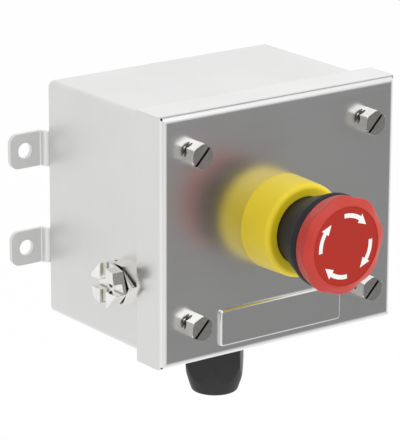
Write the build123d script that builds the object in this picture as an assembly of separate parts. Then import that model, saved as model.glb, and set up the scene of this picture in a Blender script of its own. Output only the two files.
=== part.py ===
from build123d import *
import math
import os

# Emergency stop station for a wall: a folded steel box, a cover held by four captive screws,
# a mushroom-head stop button with its contact blocks, an earth terminal and a cable gland.
# Frame: the wall is the plane y = 0, the front faces -Y, +X is right seen from the front, +Z is up.
# The origin is the middle of the four wall holes. All sizes are in millimetres.

# How far a cutting shape runs past the surface that it cuts
overcut = 1.0

# Sheet metal enclosure
sheet = 1.5
cover_width = 125.0
cover_height = 110.0
cover_flange = 17.6
bend_radius = 3.0
cover_overhang = 2.4
body_depth = 87.3
rear_edge_radius = 0.5
inner_edge_radius = 0.5
gasket_thickness = 3.0
gasket_inset = 1.0
rim_width = 7.0
rim_corner_radius = 4.0
corner_relief_radius = 0.5
corner_relief_reach = 12.0

# Mounting straps behind the box
strap_thickness = 2.0
strap_width = 15.5
strap_step = 3.7
strap_step_run = 0.4
strap_flat_beyond_box = 0.6
strap_hole_radius = 3.5
strap_hole_outside_box = 9.9
strap_hole_spacing_z = 44.0
strap_end_margin = 7.5
strap_corner_radius = 4.0
strap_bend_radius = 0.6

# Cover screws, their posts and rings
screw_inset_x = 16.5
screw_inset_z = 17.5
screw_across_flats = 10.0
screw_corner_angle = 85.0
screw_head_height = 6.8
screw_head_chamfer = 0.5
screw_radius = 3.0
screw_neck_radius = 2.4
screw_neck_length = 3.5
screw_length = 15.0
screw_point = 0.8
screw_slot_width = 1.3
screw_slot_depth = 1.9
screw_slot_angle = 46.0
screw_wire_hole_radius = 1.2
screw_wire_hole_height = 2.4
screw_hole_clearance = 0.3
thread_clearance = 0.05
seal_ring_height = 1.0
seal_ring_width = 1.0
seal_ring_gap = 0.1
retaining_ring_radius = 5.0
retaining_ring_thickness = 0.8
retaining_ring_gap = 0.2
retaining_ring_split = 2.0
post_radius = 4.5
post_chamfer = 0.5
post_cover_gap = 1.5
post_hole_depth = 16.0

# Label plate on the cover
label_side_gap = 13.5
label_height = 16.2
label_thickness = 1.5
label_edge_radius = 0.9
label_corner_radius = 1.6
label_above_edge = 13.3

# Earth terminal on the left wall
earth_behind_cover = 11.3
earth_above_screw = 14.7
earth_across_flats = 17.0
earth_length = 12.0
earth_chamfer = 0.5
earth_flange_length = 5.4
earth_groove_length = 0.9
earth_groove_depth = 1.7
earth_end_turn = 14.0
earth_slot_width = 4.4
earth_slot_depth = 4.2
earth_bore_margin = 0.3
earth_wire_hole_radius = 1.1
earth_wire_hole_height = 2.7
earth_stud_radius = 4.0
earth_stud_beyond_nut = 1.0
earth_hole_clearance = 0.2
clamp_screw_radius = 3.0
clamp_screw_length = 4.2
clamp_socket_across_flats = 3.0
clamp_socket_depth = 2.5
washer_radius = 8.0
washer_thickness = 1.6
spring_washer_thickness = 2.0
spring_washer_width = 3.0
spring_washer_split = 1.0
earth_nut_across_flats = 13.0
earth_nut_height = 6.5

# Cable gland under the box
gland_y = -46.4
gland_across_flats = 24.5
gland_corner_radius = 13.9
gland_hex_angle = 46.8
gland_thread_radius = 10.0
gland_hole_clearance = 0.2
gland_thread_length = 10.0
gland_flange_height = 8.5
gland_bore_radius = 6.6
gland_spigot_radius = 9.2
gland_spigot_length = 15.0
gland_washer_thickness = 1.0
gland_lock_nut_height = 4.5
gland_nut_gap = 0.3
gland_nut_height = 26.95
gland_dome_height = 12.85
gland_dome_end_radius = 10.2
gland_dome_bulge = 0.25
gland_dome_edge_radius = 1.4
gland_cavity_beyond_spigot = 3.9
gland_mouth_radius = 6.5
gland_mouth_length = 2.6
seal_bore_radius = 6.0
seal_wall = 1.6
seal_length = 11.0
basket_length = 5.6
basket_wall = 1.0
basket_slots = 8
basket_slot_width = 1.0
basket_ring_height = 1.6
part_gap = 0.3

# Stop button: collar and barrel
collar_radius = 21.0
collar_front_radius = 20.5
collar_length = 17.3
collar_rim_land = 2.4
collar_edge_radius = 2.3
collar_floor = 2.0
collar_lip = 2.5
collar_wall = 2.6
collar_mouth_radius = 15.0
collar_dish = 0.4
panel_seal_inset = 1.6
panel_seal_width = 3.4
panel_seal_thickness = 1.0
barrel_radius = 11.15
barrel_clearance = 0.1
barrel_flange_radius = 14.4
barrel_flange = 2.5
barrel_neck_radius = 10.0
barrel_neck_length = 7.5
barrel_reach = 14.0
barrel_end_wall = 2.5
lock_washer_thickness = 1.0
lock_washer_width = 3.4
lock_washer_teeth = 12
lock_washer_tooth_depth = 1.0
barrel_nut_across_flats = 27.0
barrel_nut_height = 5.5

# Stop button: moving pieces
push_travel = 5.0
running_clearance = 0.05
stem_radius = 7.0
stem_tail_radius = 4.0
stem_tail_length = 16.0
spigot_radius = 5.0
latch_ring_width = 1.4
latch_ring_thickness = 1.2
latch_ring_split = 1.2
latch_inside_barrel = 4.0
latch_groove_depth = 0.6
return_wire_radius = 0.5
return_spring_turns = 5
pusher_radius = 8.5
pusher_thickness = 2.0
pusher_socket = 1.2
pusher_chamfer = 0.5
head_rear = 36.3
head_widest = 42.0
head_front = 44.5
head_rear_radius = 20.2
head_radius = 21.55
head_valley_radius = 20.5
head_scallops = 8
head_valley_angle = 28.0
head_scallop_radius = 45.0
head_bevel_radius = 20.75
head_bevel_drop = 0.6
head_rim_land = 0.2
head_wall = 2.6
head_floor = 2.6
head_ribs = 8
head_rib_thickness = 1.2
head_rib_depth = 2.8
hub_radius = 8.0
hub_length = 8.0
disc_radius = 17.0
disc_thickness = 1.2
disc_sink = 0.25
arrow_radius = 13.2
arrow_band = 1.9
arrow_tail_angle = 94.0
arrow_tip_angle = 36.0
arrow_head_width = 4.3
arrow_head_angle = 20.0
arrow_depth = 0.4
arrow_count = 4
clip_radius = 7.2
clip_thickness = 0.8
clip_groove_depth = 0.8
clip_recess_radius = 8.5
clip_recess_depth = 1.4
clip_slot_width = 4.0
gaiter_wall = 1.3
gaiter_mouth_gap = 0.3
gaiter_bead_width = 2.2
gaiter_bead_height = 1.5
gaiter_ridge = 34.0
gaiter_ridge_radius = 20.5
gaiter_end_radius = 19.0

# Contact blocks behind the button
carrier_gap = 0.3
carrier_width = 30.0
carrier_height = 40.0
carrier_length = 15.2
carrier_wall = 2.4
carrier_corner_radius = 2.0
carrier_window_width = 16.0
block_width = 10.7
block_depth = 21.5
block_wall = 2.0
block_side_wall = 1.5
block_corner_radius = 0.8
block_cavity_height = 26.0
partition = 1.3
lid_thickness = 1.3
contact_x = 6.3
contact_plunger_radius = 2.0
contact_plunger_collar = 0.9
bridge_width = 4.0
bridge_length = 20.0
bridge_thickness = 1.0
contact_depth = 8.3
fixed_contact_inner = 6.5
fixed_contact_outer = 19.0
fixed_contact_width = 5.0
fixed_contact_thickness = 1.0
contact_wire_radius = 0.3
contact_spring_radius = 1.9
contact_spring_turns = 5
terminal_z = 16.8
terminal_screw_radius = 1.5
terminal_screw_length = 4.0
terminal_head_radius = 2.3
terminal_head_height = 2.2
terminal_slot_width = 0.8
terminal_slot_depth = 0.9

# Rail with terminals on the back wall
rail_z = -20.0
rail_length = 60.0
rail_height = 15.0
rail_depth = 5.5
rail_sheet = 1.0
rail_web_height = 8.0
rail_boss_height = 3.0
rail_boss_radius = 4.0
rail_screw_spacing = 48.0
rail_screw_radius = 1.5
rail_screw_length = 4.6
rail_screw_head_radius = 2.7
rail_screw_head_height = 2.2
rail_screw_edge_radius = 0.7
rail_terminal_count = 5
rail_terminal_width = 6.0
rail_terminal_pitch = 6.1
rail_terminal_height = 27.0
rail_terminal_share = 0.68
rail_terminal_shoulder = 6.0
rail_terminal_claw = 2.4
rail_claw_thickness = 1.5
rail_claw_hook = 0.8
rail_clearance = 0.1
rail_terminal_screw_z = 8.0
rail_terminal_screw_radius = 1.7
rail_terminal_screw_length = 8.0
rail_terminal_screw_sink = 1.5
wire_funnel_radius = 1.9
wire_funnel_depth = 7.0

# Places that follow from the driving dimensions
back_outside = -(strap_thickness + strap_step)
back_inside = back_outside - sheet
front = back_outside - body_depth
cover_inside = front + sheet
rim_front = cover_inside + gasket_thickness
body_width = cover_width - 2 * cover_overhang
body_height = cover_height - 2 * cover_overhang
screw_x = cover_width / 2 - screw_inset_x
screw_z = cover_height / 2 - screw_inset_z
strap_hole_spacing_x = body_width + 2 * strap_hole_outside_box
label_width = 2 * (screw_x - label_side_gap)
label_z = label_above_edge - cover_height / 2
earth_y = front + cover_flange + earth_behind_cover
earth_z = earth_above_screw - screw_z
side_outside = -body_width / 2
side_inside = side_outside + sheet
floor_outside = -body_height / 2
floor_inside = floor_outside + sheet

gland_seat = floor_outside - gland_washer_thickness
gland_flange_bottom = gland_seat - gland_flange_height
gland_spigot_end = gland_flange_bottom - gland_spigot_length
gland_nut_top = gland_flange_bottom - gland_nut_gap
gland_nut_bottom = gland_nut_top - gland_nut_height
seal_radius = seal_bore_radius + seal_wall
seal_bottom = gland_spigot_end - basket_length
basket_radius = seal_radius + basket_wall

collar_front = front - collar_length
barrel_seat = front - collar_floor
barrel_flange_front = barrel_seat - barrel_flange
barrel_front = barrel_flange_front - barrel_neck_length
barrel_rear = cover_inside + barrel_reach
barrel_bore_end = barrel_rear - barrel_end_wall
barrel_nut_front = cover_inside + lock_washer_thickness
barrel_nut_rear = barrel_nut_front + barrel_nut_height
carrier_front = barrel_nut_rear + carrier_gap
block_front = carrier_front + carrier_length
block_rear = block_front + block_depth
pusher_front = barrel_rear + carrier_gap
pusher_rear = pusher_front + pusher_thickness
stem_tail_front = pusher_front + pusher_socket - stem_tail_length
head_rear_y = front - head_rear
head_widest_y = front - head_widest
head_front_y = front - head_front
disc_front_y = head_front_y + disc_sink
disc_rear_y = disc_front_y + disc_thickness
clip_seat_y = disc_rear_y + clip_recess_depth
clip_rear_y = clip_seat_y - running_clearance
hub_rear_y = head_rear_y + hub_length
stem_front_y = hub_rear_y + running_clearance
latch_y = barrel_front + latch_inside_barrel
contact_face = block_front + contact_depth
bridge_rear = contact_face + bridge_thickness
lid_front = block_rear - lid_thickness

rail_rear = back_inside - rail_boss_height
rail_web_front = rail_rear - rail_sheet
rail_front = rail_rear - rail_depth
rail_terminal_depth = rail_terminal_share * (rail_front - block_rear)


def box_between(x0, x1, y0, y1, z0, z1):
    """A block between two opposite corners."""
    block = Box(x1 - x0, y1 - y0, z1 - z0)
    return Pos((x0 + x1) / 2, (y0 + y1) / 2, (z0 + z1) / 2) * block


def profile_along_y(outline, y0, y1):
    """A prism along Y from y0 to y1, its outline drawn as seen from the front."""
    return Pos(0, y1, 0) * extrude(Plane.XZ * outline, y1 - y0)


def turned(points):
    """A solid of revolution about the Y axis, from (radius, y) points."""
    return revolve(make_face(Polyline(*points, close=True)), Axis.Y)


def turned_upright(points):
    """A solid of revolution about the Z axis, from (radius, z) points."""
    return revolve(make_face(Plane.XZ * Polyline(*points, close=True)), Axis.Z)


def ring(outer, inner, y0, y1):
    """A ring about the Y axis."""
    return turned([(inner, y0), (outer, y0), (outer, y1), (inner, y1)])


def upright_ring(outer, inner, z0, z1):
    """A ring about the Z axis."""
    return turned_upright([(inner, z0), (outer, z0), (outer, z1), (inner, z1)])


def rod(radius, y0, y1, x=0.0, z=0.0):
    """A round bar along Y."""
    return Pos(x, (y0 + y1) / 2, z) * Rot(90, 0, 0) * Cylinder(radius, y1 - y0)


def cross_rod(radius, x0, x1, y=0.0, z=0.0):
    """A round bar along X."""
    return Pos((x0 + x1) / 2, y, z) * Rot(0, 90, 0) * Cylinder(radius, x1 - x0)


def upright_rod(radius, z0, z1, x=0.0, y=0.0):
    """A round bar along Z."""
    return Pos(x, y, (z0 + z1) / 2) * Cylinder(radius, z1 - z0)


def hexagon(across_flats, y0, y1, angle=90.0):
    """A hexagonal bar along Y, with a corner at this angle as seen from the front."""
    outline = RegularPolygon(across_flats / 2, 6, major_radius=False, rotation=angle)
    return profile_along_y(outline, y0, y1)


def upright_hexagon(across_flats, z0, z1, angle=0.0):
    """A hexagonal bar along Z, with a corner at this angle as seen from above."""
    outline = RegularPolygon(across_flats / 2, 6, major_radius=False, rotation=angle)
    return Pos(0, 0, z0) * extrude(outline, z1 - z0)


def rounded_block(width, height, y0, y1, side_radius, face_radius, rounded_face):
    """A block centred on the Y axis, its long edges and the edges of one end face rounded."""
    block = box_between(-width / 2, width / 2, y0, y1, -height / 2, height / 2)
    if side_radius > 0:
        block = fillet(block.edges().filter_by(Axis.Y), side_radius)
    end = block.faces().sort_by(Axis.Y)[rounded_face]
    return fillet(end.edges(), face_radius)


def spring_along_y(radius, wire_radius, turns, y0, y1):
    """A round-wire compression spring that fills the space from y0 to y1."""
    height = y1 - y0 - 2 * wire_radius
    line = Helix(height / turns, height, radius, center=(0, y0 + wire_radius, 0), direction=(0, 1, 0))
    section = Plane(origin=line @ 0, z_dir=line % 0) * Circle(wire_radius)
    return sweep(section, path=line, is_frenet=True)


def cover_corners():
    """The signs of the four cover corners, with their names."""
    return [("top_left", -1, 1), ("top_right", 1, 1), ("bottom_left", -1, -1), ("bottom_right", 1, -1)]


def make_enclosure_box():
    """The folded box: back, four walls, a rim turned in at the front and two welded rail bosses."""
    inner_radius = bend_radius - sheet
    shell = rounded_block(body_width, body_height, rim_front, back_outside, bend_radius,
                          rear_edge_radius, -1)
    hollow = rounded_block(body_width - 2 * sheet, body_height - 2 * sheet, rim_front + sheet, back_inside,
                           inner_radius, inner_edge_radius, -1)
    mouth = RectangleRounded(body_width - 2 * rim_width, body_height - 2 * rim_width, rim_corner_radius)
    shell -= hollow
    shell -= profile_along_y(mouth, rim_front - sheet, rim_front + 2 * sheet)
    shell -= cross_rod(earth_stud_radius + earth_hole_clearance, side_outside - sheet, side_inside + sheet,
                       earth_y, earth_z)
    shell -= upright_rod(gland_thread_radius + gland_hole_clearance, floor_outside - sheet,
                         floor_inside + sheet, 0, gland_y)
    for side in (-1, 1):
        x = side * rail_screw_spacing / 2
        shell += rod(rail_boss_radius, rail_rear, back_inside, x, rail_z)
    for side in (-1, 1):
        x = side * rail_screw_spacing / 2
        shell -= rod(rail_screw_radius, rail_rear - overcut, back_inside, x, rail_z)
    return shell


def make_screw_post(side_x, side_z):
    """A threaded post welded to the back of the box under one cover screw."""
    x = side_x * screw_x
    z = side_z * screw_z
    post_front = cover_inside + post_cover_gap
    post = rod(post_radius, post_front, back_inside, x, z)
    edges = post.edges().filter_by(GeomType.CIRCLE).sort_by(Axis.Y)
    post = chamfer(edges[0], post_chamfer)
    return post - rod(screw_radius + thread_clearance, post_front - overcut, post_front + post_hole_depth,
                      x, z)


def make_mounting_strap(z):
    """A flat bar welded to the back, stepped back to the wall at each end, with a hole in each end."""
    half_length = strap_hole_spacing_x / 2 + strap_end_margin
    step_x = body_width / 2 + strap_flat_beyond_box
    pad_y = -strap_thickness / 2
    middle_y = pad_y - strap_step
    line = FilletPolyline(
        (-half_length, pad_y),
        (-step_x - strap_step_run, pad_y),
        (-step_x, middle_y),
        (step_x, middle_y),
        (step_x + strap_step_run, pad_y),
        (half_length, pad_y),
        radius=strap_bend_radius + strap_thickness / 2,
    )
    strap = Pos(0, 0, z - strap_width / 2) * extrude(trace(line, strap_thickness), strap_width)
    ends = strap.edges().filter_by(Axis.Y).group_by(Axis.X)
    strap = fillet(ends[0] + ends[-1], strap_corner_radius)
    for side in (-1, 1):
        x = side * strap_hole_spacing_x / 2
        strap -= rod(strap_hole_radius, -2 * strap_thickness, strap_thickness, x, z)
    return strap


def make_cover():
    """The folded cover: a front sheet with four flanges, relieved at the corners."""
    rear = front + cover_flange
    shell = rounded_block(cover_width, cover_height, front, rear, 0, bend_radius, 0)
    hollow = rounded_block(cover_width - 2 * sheet, cover_height - 2 * sheet, cover_inside, rear + sheet,
                           0, bend_radius - sheet, 0)
    shell -= hollow
    for _, side_x, side_z in cover_corners():
        corner = Vector(side_x * (cover_width - bend_radius) / 2, front + bend_radius / 2,
                        side_z * (cover_height - bend_radius) / 2)
        relief = Cylinder(corner_relief_radius, corner_relief_reach)
        shell -= Plane(origin=corner, z_dir=(side_x, -1, side_z)) * relief
        shell -= rod(screw_radius + screw_hole_clearance, front - sheet, cover_inside + sheet,
                     side_x * screw_x, side_z * screw_z)
    shell -= rod(barrel_radius + barrel_clearance, front - sheet, cover_inside + sheet)
    return shell


def make_cover_gasket():
    """The foam gasket between the cover and the rim of the box."""
    outer = RectangleRounded(body_width - 2 * gasket_inset, body_height - 2 * gasket_inset, bend_radius)
    inner = RectangleRounded(body_width - 2 * rim_width, body_height - 2 * rim_width, rim_corner_radius)
    return profile_along_y(outer - inner, cover_inside, rim_front)


def make_label_plate():
    """The bare label plate, with its front edges and corners rounded."""
    outline = RectangleRounded(label_width, label_height, label_corner_radius)
    plate = profile_along_y(outline, front - label_thickness, front)
    rim = plate.faces().sort_by(Axis.Y)[0].edges()
    return Pos(0, 0, label_z) * fillet(rim, label_edge_radius)


def make_cover_screw(side_x, side_z):
    """A captive screw: a slotted hexagon head drilled for a lock wire, a neck and a thread."""
    head_end = front - screw_head_height
    head = hexagon(screw_across_flats, head_end, front, screw_corner_angle)
    corner_radius = screw_across_flats / math.sqrt(3)
    crown = turned([
        (0, head_end), (corner_radius - 2 * screw_head_chamfer, head_end),
        (corner_radius + screw_head_chamfer, head_end + screw_head_chamfer),
        (corner_radius + screw_head_chamfer, front), (0, front),
    ])
    head &= crown
    slot = box_between(-screw_across_flats, screw_across_flats, head_end - overcut,
                       head_end + screw_slot_depth, -screw_slot_width / 2, screw_slot_width / 2)
    head -= Rot(0, -screw_slot_angle, 0) * slot
    wire_hole = cross_rod(screw_wire_hole_radius, -screw_across_flats, screw_across_flats)
    head -= Pos(0, front - screw_wire_hole_height, 0) * Rot(0, 120 - screw_corner_angle, 0) * wire_hole
    groove_inner = screw_radius + screw_hole_clearance + seal_ring_gap
    head -= ring(groove_inner + seal_ring_width, groove_inner, front - seal_ring_height, front + overcut)
    neck_end = front + screw_neck_length
    point = front + screw_length
    shank = turned([
        (0, front - screw_slot_depth), (screw_neck_radius, front - screw_slot_depth),
        (screw_neck_radius, neck_end), (screw_radius, neck_end + screw_radius - screw_neck_radius),
        (screw_radius, point - screw_point), (screw_radius - screw_point, point), (0, point),
    ])
    return Pos(side_x * screw_x, 0, side_z * screw_z) * (head + shank)


def make_screw_seal_ring(side_x, side_z):
    """The sealing ring in the groove under one screw head."""
    inner = screw_radius + screw_hole_clearance + seal_ring_gap
    seal = ring(inner + seal_ring_width, inner, front - seal_ring_height, front)
    return Pos(side_x * screw_x, 0, side_z * screw_z) * seal


def make_retaining_ring(side_x, side_z):
    """The split ring that keeps one screw in the cover."""
    y0 = cover_inside + retaining_ring_gap
    y1 = y0 + retaining_ring_thickness
    clip = ring(retaining_ring_radius, screw_neck_radius + running_clearance, y0, y1)
    gap = box_between(0, 2 * retaining_ring_radius, y0 - overcut, y1 + overcut,
                      -retaining_ring_split / 2, retaining_ring_split / 2)
    return Pos(side_x * screw_x, 0, side_z * screw_z) * (clip - gap)


def make_earth_terminal():
    """A terminal on a stud: a hexagon flange, a groove and a turned hexagon end with crossed wire slots."""
    corner_radius = earth_across_flats / math.sqrt(3)
    crown = turned([
        (0, 0), (corner_radius + earth_chamfer, 0),
        (corner_radius + earth_chamfer, earth_length - earth_chamfer),
        (corner_radius - 2 * earth_chamfer, earth_length), (0, earth_length),
    ])
    groove_end = earth_flange_length + earth_groove_length
    piece = hexagon(earth_across_flats, 0, earth_flange_length, 0)
    piece += rod(earth_across_flats / 2 - earth_groove_depth, earth_flange_length, earth_length)
    piece += hexagon(earth_across_flats, groove_end, earth_length, earth_end_turn)
    bar = Rot(0, 0, 90) * (piece & crown)
    end = -earth_length
    reach = earth_across_flats
    slot_end = end + earth_slot_depth
    slot = box_between(end - overcut, slot_end, -earth_slot_width / 2, earth_slot_width / 2, -reach, reach)
    bar -= slot
    bar -= Rot(90, 0, 0) * slot
    bore_end = slot_end + clamp_screw_length + earth_bore_margin
    bar -= cross_rod(clamp_screw_radius + thread_clearance, end - overcut, bore_end)
    bar -= Pos(-earth_wire_hole_height, 0, 0) * upright_rod(
        earth_wire_hole_radius, -reach, reach, 0, earth_across_flats / 4)
    stud_length = (sheet + washer_thickness + spring_washer_thickness + earth_nut_height
                   + earth_stud_beyond_nut)
    bar += cross_rod(earth_stud_radius, bore_end, stud_length)
    return Pos(side_outside, earth_y, earth_z) * bar


def make_earth_clamp_screw():
    """The set screw that clamps the wire from the bottom of the crossed slots."""
    top = side_outside - earth_length + earth_slot_depth
    screw = cross_rod(clamp_screw_radius, top, top + clamp_screw_length)
    socket = RegularPolygon(clamp_socket_across_flats / 2, 6, major_radius=False)
    screw -= Pos(top, 0, 0) * extrude(Plane.YZ * socket, clamp_socket_depth)
    return Pos(0, earth_y, earth_z) * screw


def make_earth_washer():
    """The flat contact washer inside the wall."""
    disc = cross_rod(washer_radius, 0, washer_thickness)
    disc -= cross_rod(earth_stud_radius, -overcut, washer_thickness + overcut)
    return Pos(side_inside, earth_y, earth_z) * disc


def make_earth_spring_washer():
    """The split spring washer under the earth nut."""
    reach = earth_stud_radius + spring_washer_width
    disc = cross_rod(reach, 0, spring_washer_thickness)
    disc -= cross_rod(earth_stud_radius, -overcut, spring_washer_thickness + overcut)
    disc -= box_between(-overcut, spring_washer_thickness + overcut, -spring_washer_split / 2,
                        spring_washer_split / 2, 0, 2 * reach)
    return Pos(side_inside + washer_thickness, earth_y, earth_z) * disc


def make_earth_nut():
    """The nut that pulls the earth stud tight."""
    outline = RegularPolygon(earth_nut_across_flats / 2, 6, major_radius=False) - Circle(earth_stud_radius)
    nut = extrude(Plane.YZ * outline, earth_nut_height)
    return Pos(side_inside + washer_thickness + spring_washer_thickness, earth_y, earth_z) * nut


def gland_hexagon(z0, z1):
    """The gland's hexagon with its corners turned down."""
    block = upright_hexagon(gland_across_flats, z0, z1, gland_hex_angle)
    return block & upright_rod(gland_corner_radius, z0, z1)


def make_gland_body():
    """The gland body: a thread through the floor, a hexagon flange and a threaded spigot below."""
    body = gland_hexagon(gland_flange_bottom, gland_seat)
    body += upright_rod(gland_thread_radius, gland_seat, gland_seat + gland_thread_length)
    body += upright_rod(gland_spigot_radius, gland_spigot_end, gland_flange_bottom)
    top = gland_seat + gland_thread_length
    body -= upright_rod(gland_bore_radius, gland_spigot_end - overcut, top + overcut)
    body -= upright_rod(seal_radius, gland_spigot_end - overcut, seal_bottom + seal_length)
    return Pos(0, gland_y, 0) * body


def make_gland_washer():
    """The flat sealing washer between the gland flange and the floor of the box."""
    seal = upright_ring(gland_across_flats / 2, gland_thread_radius, gland_seat, floor_outside)
    return Pos(0, gland_y, 0) * seal


def make_gland_lock_nut():
    """The lock nut inside the box."""
    top = floor_inside + gland_lock_nut_height
    nut = gland_hexagon(floor_inside, top)
    nut -= upright_rod(gland_thread_radius, floor_inside - overcut, top + overcut)
    return Pos(0, gland_y, 0) * nut


def make_gland_seal():
    """The rubber sleeve that grips the cable."""
    seal = upright_ring(seal_radius, seal_bore_radius, seal_bottom, seal_bottom + seal_length)
    return Pos(0, gland_y, 0) * seal


def make_gland_basket():
    """The slotted basket whose fingers the dome nut squeezes onto the sleeve."""
    taper = basket_wall / 2
    basket = turned_upright([
        (seal_radius, gland_spigot_end), (basket_radius, gland_spigot_end),
        (basket_radius, seal_bottom + 2 * basket_ring_height), (basket_radius - taper, seal_bottom),
        (seal_radius, seal_bottom),
    ])
    for index in range(basket_slots):
        slot = box_between(0, 2 * basket_radius, -basket_slot_width / 2, basket_slot_width / 2,
                           seal_bottom - overcut, gland_spigot_end - basket_ring_height)
        basket -= Rot(0, 0, 360 / basket_slots * index) * slot
    return Pos(0, gland_y, 0) * basket


def make_gland_dome_nut():
    """The dome nut: a hexagon that runs out into a rounded dome with the cable mouth at its end."""
    dome_top = gland_nut_bottom + gland_dome_height
    side = Line((gland_corner_radius, gland_nut_top), (gland_corner_radius, dome_top))
    middle = ((gland_corner_radius + gland_dome_end_radius) / 2 + gland_dome_bulge,
              (dome_top + gland_nut_bottom) / 2)
    curve = ThreePointArc((gland_corner_radius, dome_top), middle, (gland_dome_end_radius, gland_nut_bottom))
    base = Polyline((gland_dome_end_radius, gland_nut_bottom), (0, gland_nut_bottom), (0, gland_nut_top),
                    (gland_corner_radius, gland_nut_top))
    dome = revolve(make_face(Plane.XZ * (side + curve + base)), Axis.Z)
    edge = dome.edges().filter_by(GeomType.CIRCLE).sort_by(Axis.Z)[0]
    dome = fillet(edge, gland_dome_edge_radius)
    nut = dome & upright_hexagon(gland_across_flats, gland_nut_bottom, gland_nut_top, gland_hex_angle)
    thread = gland_spigot_radius + running_clearance
    cavity_end = gland_spigot_end - gland_cavity_beyond_spigot
    mouth_start = gland_nut_bottom + gland_mouth_length
    nut -= turned_upright([
        (0, gland_nut_top + overcut), (thread, gland_nut_top + overcut), (thread, cavity_end),
        (gland_mouth_radius, mouth_start), (gland_mouth_radius, gland_nut_bottom - overcut),
        (0, gland_nut_bottom - overcut),
    ])
    return Pos(0, gland_y, 0) * nut


def make_button_collar():
    """The yellow collar: a hollow cup with a dished front lip round its mouth."""
    inner = collar_radius - collar_wall
    lip_rear = collar_front + collar_lip
    land = collar_front_radius - collar_rim_land
    bore = barrel_radius + barrel_clearance
    outline = make_face(Polyline(
        (bore, front), (collar_radius, front), (collar_front_radius, collar_front), (land, collar_front),
        (collar_mouth_radius, collar_front + collar_dish), (collar_mouth_radius, lip_rear), (inner, lip_rear),
        (inner, barrel_seat), (bore, barrel_seat), close=True,
    ))
    rim = outline.vertices().sort_by_distance((collar_front_radius, collar_front, 0))[0]
    cup = revolve(fillet(rim, collar_edge_radius), Axis.Y)
    seal_inner = barrel_radius + panel_seal_inset
    return cup - ring(seal_inner + panel_seal_width, seal_inner, front - panel_seal_thickness,
                      front + overcut)


def make_panel_seal():
    """The sealing ring in the rear face of the collar."""
    inner = barrel_radius + panel_seal_inset
    return ring(inner + panel_seal_width, inner, front - panel_seal_thickness, front)


def make_actuator_barrel():
    """The threaded barrel that carries the button through the cover."""
    bore = stem_radius + running_clearance
    groove = bore + latch_groove_depth
    groove_front = latch_y + push_travel - running_clearance
    groove_rear = groove_front + latch_ring_thickness + 2 * running_clearance
    tail_bore = stem_tail_radius + running_clearance
    return turned([
        (bore, barrel_front), (barrel_neck_radius, barrel_front), (barrel_neck_radius, barrel_flange_front),
        (barrel_flange_radius, barrel_flange_front), (barrel_flange_radius, barrel_seat),
        (barrel_radius, barrel_seat), (barrel_radius, barrel_rear), (tail_bore, barrel_rear),
        (tail_bore, barrel_bore_end), (bore, barrel_bore_end), (bore, groove_rear), (groove, groove_rear),
        (groove, groove_front), (bore, groove_front),
    ])


def make_barrel_lock_washer():
    """The toothed washer under the barrel nut."""
    outer = barrel_radius + lock_washer_width
    washer = ring(outer, barrel_radius, cover_inside, barrel_nut_front)
    tooth_gap = box_between(outer - lock_washer_tooth_depth, outer + overcut, cover_inside - overcut,
                            barrel_nut_front + overcut, -lock_washer_tooth_depth / 2,
                            lock_washer_tooth_depth / 2)
    for index in range(lock_washer_teeth):
        washer -= Rot(0, 360 / lock_washer_teeth * index, 0) * tooth_gap
    return washer


def make_barrel_nut():
    """The hexagon nut that holds the barrel in the cover."""
    nut = hexagon(barrel_nut_across_flats, barrel_nut_front, barrel_nut_rear)
    return nut - rod(barrel_radius, barrel_nut_front - overcut, barrel_nut_rear + overcut)


def make_push_stem():
    """The stem that the head pushes: a spigot for the head, a guide with the latch groove and a tail."""
    spigot_front = clip_rear_y - clip_thickness - running_clearance
    clip_neck = spigot_radius - clip_groove_depth
    clip_front = clip_rear_y - clip_thickness
    tail_end = pusher_front + pusher_socket
    groove = stem_radius - latch_ring_width
    latch_rear = latch_y + latch_ring_thickness
    return turned([
        (0, spigot_front - part_gap), (clip_neck, spigot_front - part_gap),
        (spigot_radius, spigot_front), (spigot_radius, clip_front), (clip_neck, clip_front),
        (clip_neck, clip_rear_y), (spigot_radius, clip_rear_y), (spigot_radius, stem_front_y),
        (stem_radius, stem_front_y), (stem_radius, latch_y), (groove, latch_y), (groove, latch_rear),
        (stem_radius, latch_rear), (stem_radius, stem_tail_front), (stem_tail_radius, stem_tail_front),
        (stem_tail_radius, tail_end), (0, tail_end),
    ])


def make_latch_ring():
    """The split ring that snaps into the barrel's groove when the head is pushed in."""
    latch = ring(stem_radius, stem_radius - latch_ring_width, latch_y, latch_y + latch_ring_thickness)
    gap = box_between(-latch_ring_split / 2, latch_ring_split / 2, latch_y - overcut,
                      latch_y + latch_ring_thickness + overcut, 0, 2 * stem_radius)
    return latch - gap


def make_return_spring():
    """The spring between the shoulder of the stem and the end of the barrel."""
    radius = (stem_radius + stem_tail_radius) / 2
    return spring_along_y(radius, return_wire_radius, return_spring_turns, stem_tail_front, barrel_bore_end)


def make_pusher():
    """The cap on the tail of the stem that presses both contact plungers."""
    cap = ring(pusher_radius, 0, pusher_front, pusher_rear)
    edge = cap.edges().filter_by(GeomType.CIRCLE).sort_by(Axis.Y)[-1]
    cap = chamfer(edge, pusher_chamfer)
    return cap - rod(stem_tail_radius, pusher_front - overcut, pusher_front + pusher_socket)


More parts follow.
